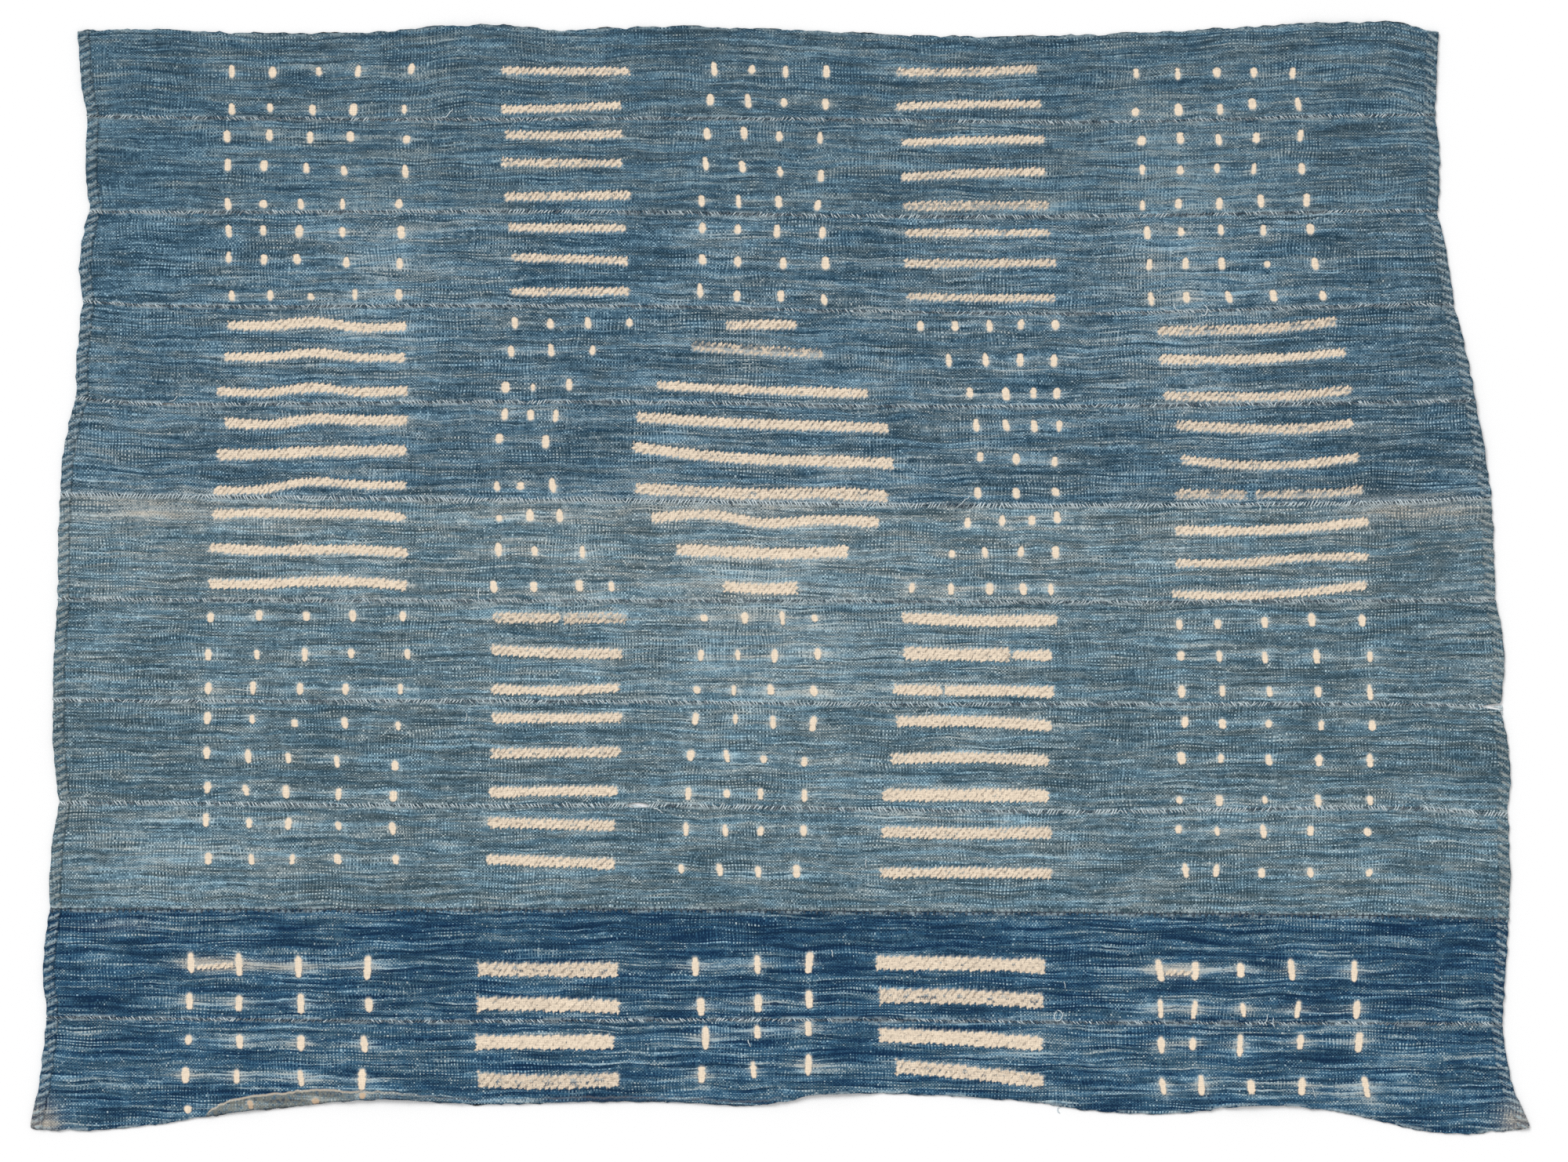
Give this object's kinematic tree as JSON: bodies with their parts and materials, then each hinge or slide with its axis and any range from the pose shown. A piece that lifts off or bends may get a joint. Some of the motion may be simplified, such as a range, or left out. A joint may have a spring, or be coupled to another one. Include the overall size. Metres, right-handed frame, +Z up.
{
  "type": "indigo resist-dyed strip-woven cotton cloth",
  "caption": "Flat wrapper cloth of narrow hand-sewn cotton strips, dyed indigo with undyed stitch-resist bars, dots and a lozenge, with turned hems and an uneven outline.",
  "frame": {"origin": "middle of the cloth's outline, on the surface that it lies on", "axes": "+X along the strips, to the right in the picture, +Y to the cloth's upper edge, +Z up out of its face"},
  "size_m": [1.57, 1.1655, 0.0056],
  "materials": {
    "slate_blue_cotton": "matt handspun plain weave, resist-dyed, with undyed cream marks",
    "mid_blue_cotton": "matt handspun plain weave, resist-dyed, with undyed cream marks",
    "faded_blue_cotton": "matt handspun plain weave, faded, with grey and cream streaks",
    "pale_blue_cotton": "matt handspun plain weave, faded, with undyed cream marks",
    "dark_indigo_cotton": "matt handspun plain weave, strongly dyed, with bleached streaks",
    "pale_thread": "pale blue hand-sewing cotton",
    "dark_thread": "dark blue hand-sewing cotton"
  },
  "bodies": {
    "root": {"strip_01": "slate_blue_cotton", "strip_02": "slate_blue_cotton", "strip_03": "mid_blue_cotton", "strip_04": "mid_blue_cotton", "strip_05": "mid_blue_cotton", "strip_06": "faded_blue_cotton", "strip_07": "pale_blue_cotton", "strip_08": "pale_blue_cotton", "strip_09": "pale_blue_cotton", "strip_10": "dark_indigo_cotton", "strip_11": "dark_indigo_cotton"}
  },
  "joints": []
}
